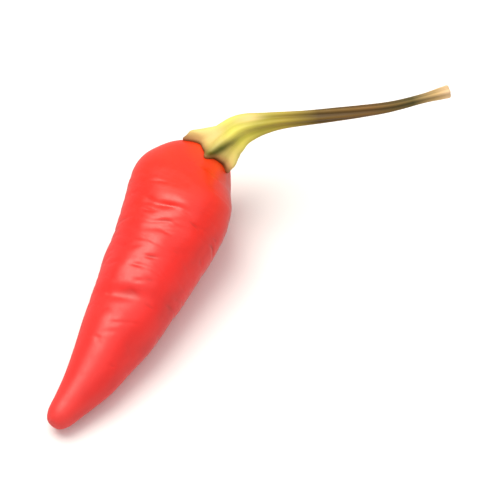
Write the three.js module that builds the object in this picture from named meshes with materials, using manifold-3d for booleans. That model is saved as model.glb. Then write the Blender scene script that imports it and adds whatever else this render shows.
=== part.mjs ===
// A birds eye chili as picked: a ripe red fruit, and the green stalk that widens into the toothed
// cup on its shoulder. It lies on its side on a small flat spot, with its stalk in the air.
//
// Millimetres, +Z up. The fruit runs along X, tip at -X and calyx at +X, and the origin is on the
// flat spot, close under the middle of the weight. Angles round the fruit and round the cup are in
// degrees: 0 faces +Y and 90 faces up.

import * as THREE from "three";
import { mergeVertices } from "three/addons/utils/BufferGeometryUtils.js";
import Module from "manifold-3d";

const wasm = await Module();
wasm.setup();

// The fruit. Its midline goes from the blunt tip to the seat of the calyx.
const POD_MIDLINE = [
  [-26.6, 0.65, 2.1],
  [-20.0, -0.5, 3.2],
  [-12.5, -0.9, 4.55],
  [-4.5, -0.65, 5.5],
  [0.5, -0.45, 6.1],
  [5.1, -0.2, 6.65],
  [8.1, -0.05, 7.2],
  [10.9, -0.25, 8.0],
  [13.4, -0.9, 9.0],
];
// How thick it is, as [distance from the tip along the midline, radius].
const POD_PROFILE = [
  [0, 0],
  [0.25, 0.95],
  [1.2, 1.6],
  [3.2, 2.1],
  [5.6, 2.65],
  [10.0, 3.65],
  [15.0, 4.7],
  [20.0, 5.35],
  [25.0, 5.85],
  [30.0, 6.5],
  [33.6, 6.8],
  [36.2, 6.4],
  [38.2, 5.2],
  [40.0, 3.7],
  [41.3, 2.2],
  [41.8, 0],
];
// The shoulder leans: it falls away more on one side than on the other, so the seat is tilted.
const SEAT_LEAN = 0.3;
const SEAT_LEAN_SIDE = 130;
const SEAT_LEAN_START = 26;
const SEAT_LEAN_FULL = 42;
const POD_ROWS = 72;
const POD_SIDES = 48;

// Three soft lobes stand out round the shoulder and fade towards the tip.
const LOBE_COUNT = 3;
const LOBE_HEIGHT = 0.35;
const LOBE_ANGLE = 17.6;
const LOBE_START = 20;
const LOBE_FULL = 37;

// Dents in the skin, where it has drawn in, and bumps over the seeds, which are dents of negative
// depth: how far from the tip, on which side, how far they reach along and round the body, how deep
// they are, and how far along the body they drift in going once round.
const DENTS = [
  { at: 17.7, side: 86, along: 1.0, round: 42, depth: 0.33, drift: 6 },
  { at: 16.3, side: 92, along: 2.0, round: 46, depth: 0.42, drift: 4 },
  { at: 20.6, side: 62, along: 1.9, round: 20, depth: -0.2, drift: 0 },
  { at: 21.2, side: 114, along: 1.9, round: 20, depth: -0.16, drift: 0 },
  { at: 18.6, side: 250, along: 2.2, round: 60, depth: 0.3, drift: 0 },
  { at: 30.1, side: 88, along: 0.7, round: 24, depth: 0.2, drift: 8 },
  { at: 27.4, side: 101, along: 0.7, round: 24, depth: 0.2, drift: 12 },
  { at: 35.6, side: 88, along: 2.2, round: 36, depth: 0.42, drift: 0 },
  { at: 31.4, side: 100, along: 1.2, round: 26, depth: -0.15, drift: 0 },
  { at: 24.6, side: 96, along: 1.8, round: 22, depth: -0.2, drift: 0 },
  { at: 12.5, side: 145, along: 2.4, round: 26, depth: 0.2, drift: 0 },
  { at: 7.5, side: 178, along: 2.0, round: 40, depth: -0.18, drift: 0 },
  { at: 35.6, side: 14, along: 2.8, round: 48, depth: -0.45, drift: 0 },
  { at: 35.0, side: 198, along: 2.6, round: 45, depth: 0.5, drift: 0 },
  { at: 28.5, side: 330, along: 1.8, round: 30, depth: 0.25, drift: 0 },
  { at: 31.5, side: 215, along: 2.2, round: 28, depth: 0.24, drift: 0 },
  { at: 23.0, side: 10, along: 2.0, round: 24, depth: -0.2, drift: 0 },
];
// Lobes and dents fade out where the body is thinner than this, at its tip and its seat.
const RELIEF_RADIUS = 3;

// The stalk's midline starts at the seat, standing up from it, and bends away.
const STALK_MIDLINE = [
  [13.9, -1.15, 9.7],
  [15.25, -2.0, 11.1],
  [16.5, -3.1, 12.3],
  [18.3, -6.1, 13.7],
  [21.7, -12.1, 14.65],
  [24.0, -15.7, 14.9],
  [26.2, -18.7, 15.0],
  [28.8, -21.4, 15.1],
  [31.2, -23.7, 15.1],
];
// How thick the cup and the stalk are, as [distance from the seat, radius], between their ribs.
const STALK_PROFILE = [
  [-3.4, 0],
  [-3.3, 2.7],
  [-1.5, 2.6],
  [0.0, 2.4],
  [0.8, 2.3],
  [1.9, 2.15],
  [3.8, 1.85],
  [5.2, 1.6],
  [7.0, 1.25],
  [9.2, 1.0],
  [12.2, 0.87],
  [16.7, 0.76],
  [21.7, 0.64],
  [27.2, 0.55],
  [29.5, 0.7],
  [30.3, 0.68],
  [30.4, 0],
];
const STALK_ROWS = 48;
const STALK_SIDES = 60;

// Five ribs run up the cup into the stalk, twisting by some degrees a millimetre, and each ends
// below in a tooth that lies on the fruit.
const RIB_COUNT = 5;
const RIB_ANGLE = 108;
const RIB_DEPTH = 0.14;
const RIB_TWIST = 3;
const RIBS_FULL = 2;
const TEETH_LENGTHS = [0.75, 0.7, 0.7, 0.8, 1.9];
const TOOTH_HALF_ANGLE = 12;
const TEETH_FULL = 0.7;
const TEETH_END = 2.4;
// The cup's underside follows a ball of this radius, and stays this far off the fruit's skin.
const SHOULDER_RADIUS = 6.6;
const CUP_GAP = 0.3;
const CUP_RELIEF_RADIUS = 2;

// The block under the part that cuts its flat spot.
const GROUND_WIDTH = 120;
const GROUND_DEPTH = 30;

const radians = THREE.MathUtils.degToRad;
const smooth = THREE.MathUtils.smoothstep;

function curveThrough(points) {
  const places = points.map(([x, y, z = 0]) => new THREE.Vector3(x, y, z));
  return new THREE.CatmullRomCurve3(places, false, "centripetal");
}

// The angle from one direction round the body to another, in radians, from -pi to pi.
function turnBetween(angle, side) {
  return Math.atan2(Math.sin(angle - radians(side)), Math.cos(angle - radians(side)));
}

// Turns a smooth profile round its axis, which gives a closed body along Y.
function turned(profile, rows, sides) {
  const outline = curveThrough(profile.map(([along, radius]) => [radius, along]));
  const points = outline.getSpacedPoints(rows).map((p) => new THREE.Vector2(Math.max(p.x, 0), p.y));
  points[0].x = 0;
  points[rows].x = 0;
  return new THREE.LatheGeometry(points, sides);
}

// Wraps a turned body round a midline: reshape gives each point's new radius and distance along.
function wrapped(geometry, midline, reshape) {
  const length = midline.getLength();
  const position = geometry.getAttribute("position");
  const point = new THREE.Vector3();
  for (let i = 0; i < position.count; i++) {
    point.fromBufferAttribute(position, i);
    const angle = Math.atan2(point.x, point.z);
    const [radius, along] = reshape(Math.hypot(point.x, point.z), point.y, angle);
    const share = THREE.MathUtils.clamp(along / length, 0, 1);
    const forward = midline.getTangentAt(share);
    const side = new THREE.Vector3(0, 0, 1).cross(forward).normalize();
    const up = forward.clone().cross(side);
    point
      .copy(midline.getPointAt(share))
      .addScaledVector(forward, along - share * length)
      .addScaledVector(side, radius * Math.cos(angle))
      .addScaledVector(up, radius * Math.sin(angle));
    position.setXYZ(i, point.x, point.y, point.z);
  }
  return geometry;
}

function solidOf(geometry) {
  const bare = geometry.clone().deleteAttribute("normal").deleteAttribute("uv");
  const merged = mergeVertices(bare, 1e-4);
  const mesh = new wasm.Mesh({
    numProp: 3,
    vertProperties: merged.getAttribute("position").array,
    triVerts: new Uint32Array(merged.index.array),
  });
  return new wasm.Manifold(mesh);
}

function geometryOf(solid) {
  const mesh = solid.getMesh();
  const geometry = new THREE.BufferGeometry();
  geometry.setAttribute("position", new THREE.BufferAttribute(mesh.vertProperties, 3));
  geometry.setIndex(new THREE.BufferAttribute(mesh.triVerts, 1));
  geometry.computeVertexNormals();
  return geometry;
}

function podRelief(along, angle) {
  const lobes = Math.cos(LOBE_COUNT * turnBetween(angle, LOBE_ANGLE));
  let relief = LOBE_HEIGHT * lobes * smooth(along, LOBE_START, LOBE_FULL);
  for (const dent of DENTS) {
    const turn = turnBetween(angle, dent.side);
    const offset = along - dent.at - (dent.drift * turn) / (2 * Math.PI);
    const fade = (offset / dent.along) ** 2 + (turn / radians(dent.round)) ** 2;
    relief -= dent.depth * Math.exp(-fade);
  }
  return relief;
}

function podSkin(clearance) {
  const body = turned(POD_PROFILE, POD_ROWS, POD_SIDES);
  return wrapped(body, curveThrough(POD_MIDLINE), (radius, along, angle) => {
    const share = Math.min(radius / RELIEF_RADIUS, 1);
    const wide = radius + share * (podRelief(along, angle) + clearance);
    const lean = SEAT_LEAN * smooth(along, SEAT_LEAN_START, SEAT_LEAN_FULL);
    return [wide, along - lean * wide * Math.cos(turnBetween(angle, SEAT_LEAN_SIDE))];
  });
}

function makePod() {
  const ground = new THREE.BoxGeometry(GROUND_WIDTH, GROUND_WIDTH, GROUND_DEPTH);
  ground.translate(0, 0, -GROUND_DEPTH / 2);
  return geometryOf(solidOf(podSkin(0)).subtract(solidOf(ground)));
}

// How far the fruit's shoulder has fallen away at this distance from the middle of the seat.
function shoulderDrop(radius) {
  return SHOULDER_RADIUS - Math.sqrt(SHOULDER_RADIUS ** 2 - radius ** 2);
}

function cupTeeth(angle) {
  let reach = 0;
  TEETH_LENGTHS.forEach((length, i) => {
    const turn = turnBetween(angle, RIB_ANGLE + (i * 360) / RIB_COUNT);
    reach += length * Math.exp(-((turn / radians(TOOTH_HALF_ANGLE)) ** 2));
  });
  return reach;
}

function makeStalk() {
  const body = turned(STALK_PROFILE, STALK_ROWS, STALK_SIDES);
  wrapped(body, curveThrough(STALK_MIDLINE), (radius, along, angle) => {
    const twist = RIB_TWIST * Math.max(along, 0);
    const wave = Math.cos(RIB_COUNT * turnBetween(angle, RIB_ANGLE + twist));
    const ribs = RIB_DEPTH * wave * smooth(along, 0, RIBS_FULL);
    const teeth = cupTeeth(angle) * (1 - smooth(along, TEETH_FULL, TEETH_END));
    const share = Math.min(radius / CUP_RELIEF_RADIUS, 1);
    const wide = radius * (1 + ribs) + share * teeth;
    const drop = along < TEETH_END ? shoulderDrop(wide) - shoulderDrop(radius) : 0;
    return [wide, along - drop];
  });
  return geometryOf(solidOf(body).subtract(solidOf(podSkin(CUP_GAP))));
}

const chili = new THREE.Group();

const pod = new THREE.Mesh(
  makePod(),
  new THREE.MeshStandardMaterial({ color: 0xe02a1c, roughness: 0.3, metalness: 0 }),
);
pod.name = "pod";
chili.add(pod);

const stalk = new THREE.Mesh(
  makeStalk(),
  new THREE.MeshStandardMaterial({ color: 0x9fa53a, roughness: 0.55, metalness: 0 }),
);
stalk.name = "stem_and_calyx";
chili.add(stalk);

export default chili;
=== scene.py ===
"""A ripe birds eye chili lying on a white table: fine skin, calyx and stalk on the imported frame."""
import math

import bpy
import numpy as np
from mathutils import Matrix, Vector
from mathutils.bvhtree import BVHTree


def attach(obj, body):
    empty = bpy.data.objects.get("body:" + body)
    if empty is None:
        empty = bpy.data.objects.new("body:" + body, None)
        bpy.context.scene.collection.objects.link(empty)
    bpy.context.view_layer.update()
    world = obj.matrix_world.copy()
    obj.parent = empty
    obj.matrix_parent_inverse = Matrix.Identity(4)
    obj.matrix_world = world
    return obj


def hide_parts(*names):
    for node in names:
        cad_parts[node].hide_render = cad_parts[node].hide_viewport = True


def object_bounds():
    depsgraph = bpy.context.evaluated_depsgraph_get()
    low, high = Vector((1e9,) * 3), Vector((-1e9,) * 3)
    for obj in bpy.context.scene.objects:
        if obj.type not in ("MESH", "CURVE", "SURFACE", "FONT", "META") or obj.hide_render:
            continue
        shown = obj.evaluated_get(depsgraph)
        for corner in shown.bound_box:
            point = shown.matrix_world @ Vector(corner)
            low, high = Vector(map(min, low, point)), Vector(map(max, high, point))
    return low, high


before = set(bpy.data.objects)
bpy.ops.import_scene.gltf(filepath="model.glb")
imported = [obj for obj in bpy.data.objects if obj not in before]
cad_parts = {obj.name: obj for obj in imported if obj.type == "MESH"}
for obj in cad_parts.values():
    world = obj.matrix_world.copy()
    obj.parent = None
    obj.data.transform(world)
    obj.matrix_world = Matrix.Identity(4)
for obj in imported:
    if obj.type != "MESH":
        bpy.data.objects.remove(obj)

CAD_LOW, CAD_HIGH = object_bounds()
MM = 0.001

# The shapes below repeat the part's own numbers, in millimetres and degrees, and are then drawn
# with a much finer mesh. Angles round the body: 0 faces +Y and 90 faces up.
POD_MIDLINE = [
    (-26.6, 0.65, 2.1),
    (-20.0, -0.5, 3.2),
    (-12.5, -0.9, 4.55),
    (-4.5, -0.65, 5.5),
    (0.5, -0.45, 6.1),
    (5.1, -0.2, 6.65),
    (8.1, -0.05, 7.2),
    (10.9, -0.25, 8.0),
    (13.4, -0.9, 9.0),
]
# Distance from the tip along the midline, radius.
POD_PROFILE = [
    (0, 0),
    (0.25, 0.95),
    (1.2, 1.6),
    (3.2, 2.1),
    (5.6, 2.65),
    (10.0, 3.65),
    (15.0, 4.7),
    (20.0, 5.35),
    (25.0, 5.85),
    (30.0, 6.5),
    (33.6, 6.8),
    (36.2, 6.4),
    (38.2, 5.2),
    (40.0, 3.7),
    (41.3, 2.2),
    (41.8, 0),
]
POD_ROWS = 330
POD_SIDES = 250
SEAT_LEAN = 0.3
SEAT_LEAN_SIDE = 130
SEAT_LEAN_START = 26
SEAT_LEAN_FULL = 42
LOBE_COUNT = 3
LOBE_HEIGHT = 0.35
LOBE_ANGLE = 17.6
LOBE_START = 20
LOBE_FULL = 37
RELIEF_RADIUS = 3
# At, side, reach along, reach round, depth, drift along in going once round.
DENTS = [
    (17.7, 86, 1.0, 42, 0.33, 6),
    (16.3, 92, 2.0, 46, 0.42, 4),
    (20.6, 62, 1.9, 20, -0.2, 0),
    (21.2, 114, 1.9, 20, -0.16, 0),
    (18.6, 250, 2.2, 60, 0.3, 0),
    (30.1, 88, 0.7, 24, 0.2, 8),
    (27.4, 101, 0.7, 24, 0.2, 12),
    (35.6, 88, 2.2, 36, 0.42, 0),
    (31.4, 100, 1.2, 26, -0.15, 0),
    (24.6, 96, 1.8, 22, -0.2, 0),
    (12.5, 145, 2.4, 26, 0.2, 0),
    (7.5, 178, 2.0, 40, -0.18, 0),
    (35.6, 14, 2.8, 48, -0.45, 0),
    (35.0, 198, 2.6, 45, 0.5, 0),
    (28.5, 330, 1.8, 30, 0.25, 0),
    (31.5, 215, 2.2, 28, 0.24, 0),
    (23.0, 10, 2.0, 24, -0.2, 0),
]
# Short creases seen on top and, as the last two rows, the soft step under the fold, in the same
# order. They are too slight for the part's coarser mesh.
CREASES = [
    (30.3, 90, 0.3, 13, 0.1, 8),
    (27.9, 91, 0.32, 12, 0.16, 14),
    (25.4, 82, 0.26, 9, 0.08, -6),
    (23.1, 100, 0.3, 10, 0.13, 10),
    (21.4, 86, 0.28, 8, 0.12, 5),
    (19.6, 98, 0.28, 8, 0.08, 8),
    (13.8, 95, 0.3, 10, 0.09, 5),
    (17.4, 86, 0.8, 38, 0.15, 6),
    (14.4, 84, 1.5, 36, -0.14, 5),
]
# Fine wrinkles across the body, drawn with this seed: how many there are, the least, likeliest and
# most of where they lie, the least and most of their reach along and round and of their depth, and
# how far they drift at most.
WRINKLE_SEED = 7
WRINKLE_COUNT = 230
WRINKLE_AT = (5, 30, 37)
WRINKLE_REACH = (0.2, 0.4)
WRINKLE_TURN = (6, 17)
WRINKLE_DEPTH = (0.02, 0.08)
WRINKLE_DRIFT = 12

STALK_MIDLINE = [
    (13.9, -1.15, 9.7),
    (15.25, -2.0, 11.1),
    (16.5, -3.1, 12.3),
    (18.3, -6.1, 13.7),
    (21.7, -12.1, 14.65),
    (24.0, -15.7, 14.9),
    (26.2, -18.7, 15.0),
    (28.8, -21.4, 15.1),
    (31.2, -23.7, 15.1),
]
# Distance from the seat along the midline, radius. It starts below the rim, inside the fruit.
STALK_PROFILE = [
    (-3.3, 2.7),
    (-1.5, 2.6),
    (0.0, 2.4),
    (0.8, 2.3),
    (1.9, 2.15),
    (3.8, 1.85),
    (5.2, 1.6),
    (7.0, 1.25),
    (9.2, 1.0),
    (12.2, 0.87),
    (16.7, 0.76),
    (21.7, 0.64),
    (27.2, 0.55),
    (29.5, 0.7),
    (30.3, 0.68),
    (30.4, 0),
]
STALK_ROWS = 300
STALK_SIDES = 140
RIB_COUNT = 5
RIB_ANGLE = 108
RIB_DEPTH = 0.14
RIB_TWIST = 3
RIBS_FULL = 2
TEETH_LENGTHS = [0.75, 0.7, 0.7, 0.8, 1.9]
TOOTH_HALF_ANGLE = 12
TEETH_FULL = 0.7
TEETH_END = 2.4
SHOULDER_RADIUS = 6.6
CUP_RELIEF_RADIUS = 2
# The cup's underside lies this far off the skin and its rim is this thick. The rim is looked for
# below this height, in so many trials. So many rows go from the rim up to that height, and so many
# rings lie under the cup.
SEAM = 0.03
RIM_THICKNESS = 0.3
RIM_SEARCH_TOP = 2.6
RIM_TRIALS = 160
RIM_ROWS = 40
UNDER_RINGS = 10

# How many short steps a curve has between two of its points.
CURVE_STEPS = 600

# The looks. Colours are linear red, green and blue. A noise is given by its cycles a metre, its
# detail and how much it is squeezed along each axis, and a bump by its strength and its height in
# metres.
NOISE_ROUGHNESS = 0.5
EVEN = (1, 1, 1)
# The Mix node's sockets for the share and for the two colours, and its output for a colour.
MIX_SOCKETS = (0, 6, 7)
MIX_OUTPUT = 2
# The skin's colour, by the share of this distance from the tip.
SKIN_LENGTH = 42
SKIN_COLOURS = [
    (0.0, (0.78, 0.036, 0.03)),
    (0.15, (0.8, 0.016, 0.011)),
    (0.55, (0.84, 0.015, 0.009)),
    (0.75, (0.84, 0.016, 0.004)),
    (0.93, (0.84, 0.028, 0.003)),
    (1.0, (0.84, 0.07, 0.006)),
]
# Darker clouds over the skin, up to this share as their noise goes through this range.
CLOUDS = (160, 4, (1, 2.2, 2.2))
CLOUD_RANGE = (0.35, 0.75)
CLOUD_SHARE = 0.4
CLOUD_COLOUR = (0.5, 0.01, 0.01)
# Painted shade darkens the creases, from the first of these depths in millimetres to the second.
CREASE_SHADE_DEPTHS = (0.05, 0.18)
CREASE_SHADE_SHARE = 0.55
CREASE_SHADE_COLOUR = (0.36, 0.014, 0.006)
# The roughness follows a fine grain, as its noise goes through this range, and grows by this much
# from this distance down to the tip.
GRAIN_RANGE = (0.3, 0.7)
SKIN_GRAIN = (900, 3, (1, 2, 2))
SKIN_ROUGHNESS = (0.28, 0.38)
DULLING = 0.12
DULLING_START = 30
SKIN_RIPPLE = (420, 3, (2.2, 0.8, 0.8))
SKIN_BUMP = (0.12, 0.0002)
SKIN_IOR = 1.55
# The stalk's pale and dark colours, by the share of this height above the rim.
STALK_LENGTH = 30.4
STALK_COLOURS = [
    (0.0, (0.22, 0.08, 0.02), (0.16, 0.06, 0.015)),
    (0.01, (0.6, 0.36, 0.13), (0.4, 0.22, 0.06)),
    (0.03, (0.74, 0.6, 0.2), (0.5, 0.42, 0.09)),
    (0.12, (0.8, 0.74, 0.13), (0.54, 0.54, 0.06)),
    (0.22, (0.47, 0.42, 0.06), (0.32, 0.29, 0.025)),
    (0.32, (0.44, 0.34, 0.045), (0.26, 0.19, 0.016)),
    (0.46, (0.17, 0.1, 0.016), (0.075, 0.042, 0.007)),
    (0.66, (0.21, 0.105, 0.024), (0.1, 0.05, 0.01)),
    (0.84, (0.14, 0.1, 0.025), (0.06, 0.048, 0.009)),
    (0.94, (0.6, 0.4, 0.17), (0.4, 0.26, 0.1)),
    (1.0, (0.85, 0.6, 0.36), (0.7, 0.48, 0.26)),
]
# Dark and pale streaks run up the stalk. Their noise goes round it, shifts by this much up to this
# height and is the same from there on. The ribs are paler by this much, as painted highlight on the
# ridges and painted shade in the grooves, and dark turns to pale as the noise goes through this
# range.
STREAK_SCALE = 1.6
STREAK_DETAIL = 5
STREAK_ROUGHNESS = 0.65
STREAK_SHIFT = 0.22
STREAK_SHIFT_TOP = 1
RIB_LIGHT_AND_SHADE = 0.14
STREAK_RANGE = (0.32, 0.66)
# Painted shade, dark green, runs up the hollow of the cup from this side, turning by some degrees a
# millimetre, and is this wide. It fades out between these heights.
HOLLOW_SHADE_SIDE = 106
HOLLOW_SHADE_TURN = 8
HOLLOW_SHADE_WIDTH = 18
HOLLOW_SHADE_FULL = 1.6
HOLLOW_SHADE_END = 5.0
HOLLOW_SHADE_COLOUR = (0.1, 0.12, 0.006)
# Creamy spots of painted highlight lie on the cup's upper side and the teeth end withered: height,
# side, reach up, reach round.
CREAM_HIGHLIGHT_SPOTS = [(1.7, 60, 1.4, 26), (5.6, 62, 1.6, 26)]
CREAM_HIGHLIGHT_SHARE = 0.75
CREAM_HIGHLIGHT_COLOUR = (0.88, 0.66, 0.27)
WITHERED = [(0.1, 36, 0.9, 12), (0.0, 180, 0.5, 12), (0.0, 108, 0.4, 10)]
WITHERED_SHARE = 0.9
WITHERED_COLOUR = (0.3, 0.14, 0.05)
STALK_GRAIN = (700, 3, EVEN)
STALK_ROUGHNESS = (0.4, 0.6)
STALK_BUMP = (0.4, 0.00012)
STALK_IOR = 1.35

# The stage, in metres and degrees. The camera looks from the photo's side at a point over the
# origin, moved to the right and down to bring the whole chili into the middle.
TABLE_HALF = 1.2
TABLE_COLOUR = (0.92, 0.905, 0.915)
TABLE_ROUGHNESS = 0.7
PHOTO_AZIMUTH = -63
PHOTO_ELEVATION = 55
CAMERA_FAR = 1.2
CAMERA_NEAR_CLIP = 0.01
SENSOR_WIDTH_MM = 36
VIEW_WIDTH = 0.061
AIM_HEIGHT = 6 * MM
AIM_RIGHT = 11.25 * MM
AIM_DOWN = 0.15 * MM
# Name, azimuth, elevation, distance, width, watts, colour.
LIGHTS = [
    ("window_light", 176, 70, 0.8, 0.68, 5.1, (1, 0.95, 0.84)),
    ("soft_ceiling", 0, 90, 1.0, 2.0, 6.5, (1, 0.98, 0.96)),
]
ROOM_COLOUR = (1, 0.97, 0.95)
ROOM_STRENGTH = 0.52


def smooth(x, low, high):
    t = np.clip((x - low) / (high - low), 0, 1)
    return t * t * (3 - 2 * t)


def turn_between(angle, side):
    off = angle - math.radians(side)
    return np.arctan2(np.sin(off), np.cos(off))


def spline(points):
    """Points close together on the centripetal Catmull-Rom curve through the given ones."""
    p = np.array(points, float)
    p = np.vstack([2 * p[0] - p[1], p, 2 * p[-1] - p[-2]])
    made = []
    for a, b, c, d in zip(p[:-3], p[1:-2], p[2:-1], p[3:]):
        da, db, dc = (math.sqrt(np.linalg.norm(q)) for q in (b - a, c - b, d - c))
        start = ((b - a) / da - (c - a) / (da + db) + (c - b) / db) * db
        end = ((c - b) / db - (d - b) / (db + dc) + (d - c) / dc) * db
        t = np.linspace(0, 1, CURVE_STEPS, endpoint=False)[:, None]
        bend = -3 * b + 3 * c - 2 * start - end
        twist = 2 * b - 2 * c + start + end
        made.append(b + start * t + bend * t**2 + twist * t**3)
    return np.vstack([*made, p[-2:-1]])


def lengths_along(points):
    return np.concatenate([[0], np.cumsum(np.linalg.norm(np.diff(points, axis=0), axis=1))])


def evenly(points, count):
    """As many points at equal distances along a curve, ends included."""
    far = lengths_along(points)
    at = np.linspace(0, far[-1], count)
    return np.stack([np.interp(at, far, points[:, i]) for i in range(points.shape[1])], axis=1)


class Midline:
    """The middle curve of a bent body."""

    def __init__(self, points):
        self.points = spline(points)
        self.far = lengths_along(self.points)
        self.length = self.far[-1]
        steps = np.gradient(self.points, self.far, axis=0)
        self.forward = steps / np.linalg.norm(steps, axis=1)[:, None]

    def wrap(self, radius, along, angle):
        """Where points at this radius, distance along and angle lie."""
        at = np.clip(along, 0, self.length)
        centre = np.stack([np.interp(at, self.far, self.points[:, i]) for i in range(3)], axis=-1)
        forward = np.stack([np.interp(at, self.far, self.forward[:, i]) for i in range(3)], axis=-1)
        forward /= np.linalg.norm(forward, axis=-1)[..., None]
        side = np.cross([0, 0, 1], forward)
        side /= np.linalg.norm(side, axis=-1)[..., None]
        up = np.cross(forward, side)
        across = np.cos(angle)[..., None] * side + np.sin(angle)[..., None] * up
        return centre + (along - at)[..., None] * forward + radius[..., None] * across


def wrinkles():
    draw = np.random.default_rng(WRINKLE_SEED)
    for _ in range(WRINKLE_COUNT):
        at = draw.triangular(*WRINKLE_AT)
        side = draw.uniform(0, 360)
        reach = draw.uniform(*WRINKLE_REACH)
        turn_reach = draw.uniform(*WRINKLE_TURN)
        depth = draw.uniform(*WRINKLE_DEPTH)
        drift = draw.uniform(-WRINKLE_DRIFT, WRINKLE_DRIFT)
        yield at, side, reach, turn_reach, depth, drift


def depth_of(dents, along, angle):
    total = np.zeros(along.shape)
    for at, side, reach, turn_reach, depth, drift in dents:
        turn = turn_between(angle, side)
        offset = along - at - drift * turn / (2 * math.pi)
        total += depth * np.exp(-((offset / reach) ** 2) - (turn / math.radians(turn_reach)) ** 2)
    return total


def pod_points():
    """Rows of points from the tip to the seat, with their distance along and depth in a crease."""
    outline = evenly(spline([(radius, along) for along, radius in POD_PROFILE]), POD_ROWS + 1)
    radius, along = np.maximum(outline[:, 0], 0)[:, None], outline[:, 1][:, None]
    radius[0] = radius[-1] = 0
    angle = np.linspace(0, 2 * math.pi, POD_SIDES, endpoint=False)[None, :]
    radius, along, angle = np.broadcast_arrays(radius, along, angle)
    lobes = np.cos(LOBE_COUNT * turn_between(angle, LOBE_ANGLE))
    relief = LOBE_HEIGHT * lobes * smooth(along, LOBE_START, LOBE_FULL)
    fine = depth_of([*CREASES, *wrinkles()], along, angle)
    relief = relief - depth_of(DENTS, along, angle) - fine
    wide = radius + np.minimum(radius / RELIEF_RADIUS, 1) * relief
    lean = SEAT_LEAN * smooth(along, SEAT_LEAN_START, SEAT_LEAN_FULL)
    leaned = along - lean * wide * np.cos(turn_between(angle, SEAT_LEAN_SIDE))
    return Midline(POD_MIDLINE).wrap(wide, leaned, angle), along, fine


def shoulder_drop(radius):
    return SHOULDER_RADIUS - np.sqrt(np.maximum(SHOULDER_RADIUS**2 - radius**2, 0))


def cup_teeth(angle):
    reach = 0
    for i, length in enumerate(TEETH_LENGTHS):
        turn = turn_between(angle, RIB_ANGLE + i * 360 / RIB_COUNT)
        reach = reach + length * np.exp(-((turn / math.radians(TOOTH_HALF_ANGLE)) ** 2))
    return reach


def stalk_place(midline, radius, along, angle):
    """Where points lie on the ribbed and toothed stalk, given their place on its plain outline."""
    twist = np.radians(RIB_TWIST * np.maximum(along, 0))
    wave = np.cos(RIB_COUNT * turn_between(angle - twist, RIB_ANGLE))
    ribs = RIB_DEPTH * wave * smooth(along, 0, RIBS_FULL)
    teeth = cup_teeth(angle) * (1 - smooth(along, TEETH_FULL, TEETH_END))
    wide = radius * (1 + ribs) + np.minimum(radius / CUP_RELIEF_RADIUS, 1) * teeth
    drop = np.where(along < TEETH_END, shoulder_drop(wide) - shoulder_drop(radius), 0)
    return midline.wrap(wide, along - drop, angle)


def grid_faces(rows, sides):
    """Faces between rings of points; the first and last ring are one point each."""
    faces = []
    for j in range(sides):
        k = (j + 1) % sides
        faces.append((0, 1 + k, 1 + j))
    for i in range(rows - 3):
        low, high = 1 + i * sides, 1 + (i + 1) * sides
        for j in range(sides):
            k = (j + 1) % sides
            faces.append((low + j, low + k, high + k, high + j))
    last, end = 1 + (rows - 3) * sides, 1 + (rows - 2) * sides
    for j in range(sides):
        k = (j + 1) % sides
        faces.append((last + j, last + k, end))
    return faces


def ring_values(values):
    """One value for each point of the mesh that grid_faces describes."""
    return np.concatenate([values[0, :1], values[1:-1].reshape(-1), values[-1, :1]])


def make_mesh(name, points, facts):
    """A closed mesh from rings of points in millimetres, kept inside the CAD model's box."""
    rows, sides = points.shape[:2]
    flat = np.vstack([points[0, :1], points[1:-1].reshape(-1, 3), points[-1, :1]]) * MM
    flat = np.clip(flat, np.array(CAD_LOW), np.array(CAD_HIGH))
    mesh = bpy.data.meshes.new(name)
    mesh.from_pydata(flat.tolist(), [], grid_faces(rows, sides))
    for fact, values in facts.items():
        mesh.attributes.new(fact, "FLOAT", "POINT").data.foreach_set("value", ring_values(values))
    mesh.polygons.foreach_set("use_smooth", [True] * len(mesh.polygons))
    mesh.update()
    piece = bpy.data.objects.new(name, mesh)
    bpy.context.scene.collection.objects.link(piece)
    return piece


def make_pod():
    points, along, fine = pod_points()
    return make_mesh("fruit_skin", points, {"along": along, "crease": fine})


def skin_gap(tree, point):
    """How far a point in metres is outside the fruit's skin, in millimetres."""
    near, normal, _, far = tree.find_nearest(point)
    outside = (Vector(point) - near).dot(normal) > 0
    return (far if outside else -far) / MM


def rim_distance(tree, trial, spots):
    """How far up its outline the cup is its rim's thickness off the skin."""
    gaps = np.array([skin_gap(tree, spot * MM) - RIM_THICKNESS for spot in spots])
    last = np.nonzero(gaps < 0)[0][-1]
    share = gaps[last] / (gaps[last] - gaps[last + 1])
    return trial[last] + share * (trial[1] - trial[0])


def cup_and_stalk(tree, angles):
    """Rings of points from the cup's rim to the stalk's end, and their heights above the rim."""
    midline = Midline(STALK_MIDLINE)
    outline = spline([(radius, along) for along, radius in STALK_PROFILE])
    far = lengths_along(outline)

    def column(at, angle):
        radius = np.maximum(np.interp(at, far, outline[:, 0]), 0)
        along = np.interp(at, far, outline[:, 1])
        return stalk_place(midline, radius, along, np.full_like(at, angle)), along

    search_top = np.interp(RIM_SEARCH_TOP, outline[:, 1], far)
    trial = np.linspace(0, search_top, RIM_TRIALS)
    above = np.linspace(search_top, far[-1], STALK_ROWS - RIM_ROWS)
    columns, heights = [], []
    for angle in angles:
        spots, _ = column(trial, angle)
        rim = rim_distance(tree, trial, spots)
        at = np.concatenate([np.linspace(rim, search_top, RIM_ROWS, endpoint=False), above])
        spots, along = column(at, angle)
        columns.append(spots)
        heights.append(along - along[0] * (1 - smooth(along, 0, RIM_SEARCH_TOP)))
    return np.stack(columns, axis=1), np.stack(heights, axis=1)


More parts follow.
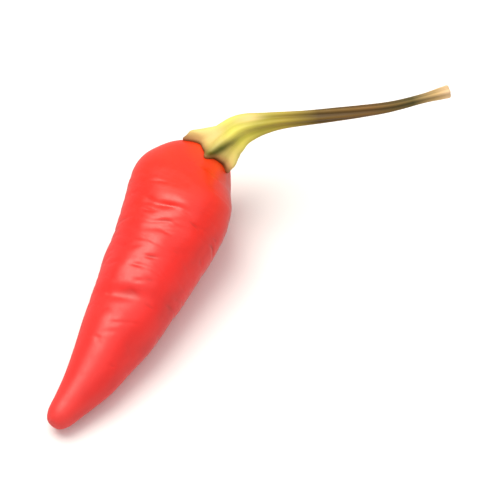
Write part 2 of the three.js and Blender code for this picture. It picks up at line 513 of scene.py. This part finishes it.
def cup_underside(tree, rim):
    """Rings of points close on the skin, from the cup's middle out to its rim."""
    middle = rim.mean(axis=0)
    rings = []
    for share in np.linspace(0, 1, UNDER_RINGS):
        placed = []
        for spot in middle + share * (rim - middle):
            near, normal, _, _ = tree.find_nearest(spot * MM)
            placed.append(np.array(near + normal * SEAM * MM) / MM)
        rings.append(placed)
    rings = np.array(rings)
    rings[0] = rings[0].mean(axis=0)
    return rings


def spotted(spots, heights, angle):
    total = 0
    for at, side, reach, turn_reach in spots:
        turn = turn_between(angle, side) / math.radians(turn_reach)
        total = total + np.exp(-(((heights - at) / reach) ** 2) - turn**2)
    return total


def stalk_facts(heights, angles):
    """What the stalk's colours go by, at each of its points."""
    angle = angles - np.radians(RIB_TWIST * np.maximum(heights, 0))
    beside = turn_between(angle - np.radians(HOLLOW_SHADE_TURN * heights), HOLLOW_SHADE_SIDE)
    return {
        "height": heights,
        "ridge": np.cos(RIB_COUNT * turn_between(angle, RIB_ANGLE)),
        # Where the painted shade in the cup's hollow lies.
        "hollow_shade": np.exp(-((beside / math.radians(HOLLOW_SHADE_WIDTH)) ** 2)),
        # Where the painted highlight on the cup's upper side lies.
        "cream_highlight": spotted(CREAM_HIGHLIGHT_SPOTS, heights, angle),
        "withered": spotted(WITHERED, heights, angle),
        "across": np.cos(angle),
        "upward": np.sin(angle),
    }


def make_stalk(pod):
    tree = BVHTree.FromObject(pod, bpy.context.evaluated_depsgraph_get())
    angles = np.linspace(0, 2 * math.pi, STALK_SIDES, endpoint=False)
    points, heights = cup_and_stalk(tree, angles)
    under = cup_underside(tree, points[0])
    points = np.concatenate([under, points])
    heights = np.concatenate([np.zeros(under.shape[:2]), heights])
    points[-1] = points[-1].mean(axis=0)
    return make_mesh("calyx_and_stalk", points, stalk_facts(heights, angles))


class Look:
    """A material in the making. Its methods add a node and give back the node's output."""

    def __init__(self, name):
        self.material = bpy.data.materials.new(name)
        self.material.use_nodes = True
        self.tree = self.material.node_tree
        self.shader = self.tree.nodes["Principled BSDF"]

    def feed(self, node, inputs):
        """Links or sets a node's sockets, given as {socket: another node's output or a value}."""
        for socket, value in inputs.items():
            if isinstance(value, bpy.types.NodeSocket):
                self.tree.links.new(value, node.inputs[socket])
            else:
                node.inputs[socket].default_value = value

    def add(self, kind, inputs, **settings):
        node = self.tree.nodes.new(kind)
        for setting, value in settings.items():
            setattr(node, setting, value)
        self.feed(node, inputs)
        return node

    def fact(self, name):
        return self.add("ShaderNodeAttribute", {}, attribute_name=name).outputs["Fac"]

    def ramp(self, source, stops):
        node = self.add("ShaderNodeValToRGB", {"Fac": source})
        for at, _ in stops[1:-1]:
            node.color_ramp.elements.new(at)
        for element, (at, colour) in zip(node.color_ramp.elements, stops):
            element.position = at
            element.color = (*colour, 1)
        return node.outputs["Color"]

    def scaled(self, source, low, high, to_low=0.0, to_high=1.0):
        """A value brought from one range to another, and held inside it."""
        inputs = {"Value": source, "From Min": low, "From Max": high}
        inputs.update({"To Min": to_low, "To Max": to_high})
        return self.add("ShaderNodeMapRange", inputs).outputs["Result"]

    def maths(self, operation, *values):
        return self.add("ShaderNodeMath", dict(enumerate(values)), operation=operation).outputs[0]

    def noise_at(self, where, scale, detail, roughness):
        inputs = {"Vector": where, "Scale": scale, "Detail": detail, "Roughness": roughness}
        return self.add("ShaderNodeTexNoise", inputs).outputs["Fac"]

    def noise(self, scale, detail, stretch):
        where = self.add("ShaderNodeTexCoord", {}).outputs["Object"]
        place = self.add("ShaderNodeMapping", {"Vector": where, "Scale": stretch}).outputs["Vector"]
        return self.noise_at(place, scale, detail, NOISE_ROUGHNESS)

    def mix(self, share, below, above):
        """A colour over another one, by a share from 0 to 1."""
        colours = [c if isinstance(c, bpy.types.NodeSocket) else (*c, 1) for c in (below, above)]
        inputs = dict(zip(MIX_SOCKETS, (share, *colours)))
        return self.add("ShaderNodeMix", inputs, data_type="RGBA").outputs[MIX_OUTPUT]

    def bump(self, height, strength, distance):
        inputs = {"Height": height, "Strength": strength, "Distance": distance}
        return self.add("ShaderNodeBump", inputs).outputs["Normal"]

    def dress(self, colour, roughness, ior, normal):
        inputs = {"Base Color": colour, "Roughness": roughness, "IOR": ior, "Normal": normal}
        self.feed(self.shader, inputs)
        return self.material


def red_skin():
    look = Look("chili_red_skin")
    along = look.fact("along")
    colour = look.ramp(look.scaled(along, 0, SKIN_LENGTH), SKIN_COLOURS)
    clouds = look.scaled(look.noise(*CLOUDS), *CLOUD_RANGE, 0, CLOUD_SHARE)
    colour = look.mix(clouds, colour, CLOUD_COLOUR)
    # Painted shade: the creases are darkened by their depth.
    crease_shade = look.scaled(look.fact("crease"), *CREASE_SHADE_DEPTHS, 0, CREASE_SHADE_SHARE)
    colour = look.mix(crease_shade, colour, CREASE_SHADE_COLOUR)
    grain = look.scaled(look.noise(*SKIN_GRAIN), *GRAIN_RANGE, *SKIN_ROUGHNESS)
    dulling = look.scaled(along, DULLING_START, 0, 0, DULLING)
    roughness = look.maths("ADD", grain, dulling)
    normal = look.bump(look.noise(*SKIN_RIPPLE), *SKIN_BUMP)
    return look.dress(colour, roughness, SKIN_IOR, normal)


def green_stalk():
    look = Look("chili_green_stalk")
    height = look.fact("height")
    share = look.scaled(height, 0, STALK_LENGTH)
    pale = look.ramp(share, [(at, colour) for at, colour, _ in STALK_COLOURS])
    dark = look.ramp(share, [(at, colour) for at, _, colour in STALK_COLOURS])
    shift = look.scaled(height, 0, STREAK_SHIFT_TOP, 0, STREAK_SHIFT)
    place = {"X": shift, "Y": look.fact("across"), "Z": look.fact("upward")}
    where = look.add("ShaderNodeCombineXYZ", place).outputs["Vector"]
    streaks = look.noise_at(where, STREAK_SCALE, STREAK_DETAIL, STREAK_ROUGHNESS)
    # The ridges get a painted highlight and the grooves painted shade, on top of the streaks.
    streaks_and_rib_light = look.maths("MULTIPLY_ADD", look.fact("ridge"), RIB_LIGHT_AND_SHADE, streaks)
    colour = look.mix(look.scaled(streaks_and_rib_light, *STREAK_RANGE), dark, pale)
    # Painted shade, dark green, in the cup's hollow, fading out higher up.
    hollow_shade_fading = look.scaled(height, HOLLOW_SHADE_END, HOLLOW_SHADE_FULL)
    colour = look.mix(look.maths("MULTIPLY", look.fact("hollow_shade"), hollow_shade_fading), colour, HOLLOW_SHADE_COLOUR)
    # Painted highlight: creamy spots on the cup's upper side.
    colour = look.mix(look.scaled(look.fact("cream_highlight"), 0, 1, 0, CREAM_HIGHLIGHT_SHARE), colour, CREAM_HIGHLIGHT_COLOUR)
    withered = look.scaled(look.fact("withered"), 0, 1, 0, WITHERED_SHARE)
    colour = look.mix(withered, colour, WITHERED_COLOUR)
    grain = look.noise(*STALK_GRAIN)
    roughness = look.scaled(grain, *GRAIN_RANGE, *STALK_ROUGHNESS)
    normal = look.bump(grain, *STALK_BUMP)
    return look.dress(colour, roughness, STALK_IOR, normal)


def make_floor():
    mesh = bpy.data.meshes.new("white_table")
    corners = [(x * TABLE_HALF, y * TABLE_HALF, 0) for x, y in ((-1, -1), (1, -1), (1, 1), (-1, 1))]
    mesh.from_pydata(corners, [], [(0, 1, 2, 3)])
    table = bpy.data.objects.new("white_table", mesh)
    bpy.context.scene.collection.objects.link(table)
    look = Look("white_table")
    look.feed(look.shader, {"Base Color": (*TABLE_COLOUR, 1), "Roughness": TABLE_ROUGHNESS})
    mesh.materials.append(look.material)
    table.visible_glossy = False


def back_from(azimuth, elevation):
    """The direction from the origin to a viewer at these angles."""
    a, e = math.radians(azimuth), math.radians(elevation)
    return Vector((math.sin(a) * math.cos(e), -math.cos(a) * math.cos(e), math.sin(e)))


def aimed(thing, azimuth, elevation, far, target):
    back = back_from(azimuth, elevation)
    thing.location = target + back * far
    thing.rotation_mode = "QUATERNION"
    thing.rotation_quaternion = (-back).to_track_quat("-Z", "Y")
    bpy.context.scene.collection.objects.link(thing)


def make_light(name, azimuth, elevation, far, size, watts, colour):
    data = bpy.data.lights.new(name, "AREA")
    data.shape = "DISK"
    data.size = size
    data.energy = watts
    data.color = colour
    aimed(bpy.data.objects.new(name, data), azimuth, elevation, far, Vector((0, 0, 0)))


def make_camera():
    data = bpy.data.cameras.new("photo_camera")
    data.sensor_width = SENSOR_WIDTH_MM
    data.lens = SENSOR_WIDTH_MM * CAMERA_FAR / VIEW_WIDTH
    data.clip_start = CAMERA_NEAR_CLIP
    camera = bpy.data.objects.new("photo_camera", data)
    back = back_from(PHOTO_AZIMUTH, PHOTO_ELEVATION)
    right = Vector((0, 0, 1)).cross(back).normalized()
    up = back.cross(right)
    target = Vector((0, 0, AIM_HEIGHT)) + right * AIM_RIGHT - up * AIM_DOWN
    aimed(camera, PHOTO_AZIMUTH, PHOTO_ELEVATION, CAMERA_FAR, target)
    bpy.context.scene.camera = camera


def make_world():
    world = bpy.data.worlds.new("soft_room")
    world.use_nodes = True
    room = world.node_tree.nodes["Background"]
    room.inputs["Color"].default_value = (*ROOM_COLOUR, 1)
    room.inputs["Strength"].default_value = ROOM_STRENGTH
    bpy.context.scene.world = world


make_camera()
make_world()
make_floor()
for light in LIGHTS:
    make_light(*light)
bpy.context.scene.view_settings.view_transform = "Standard"

pod = make_pod()
pod.data.materials.append(red_skin())
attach(pod, "root")
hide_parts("pod")
stalk = make_stalk(pod)
stalk.data.materials.append(green_stalk())
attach(stalk, "root")
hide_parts("stem_and_calyx")
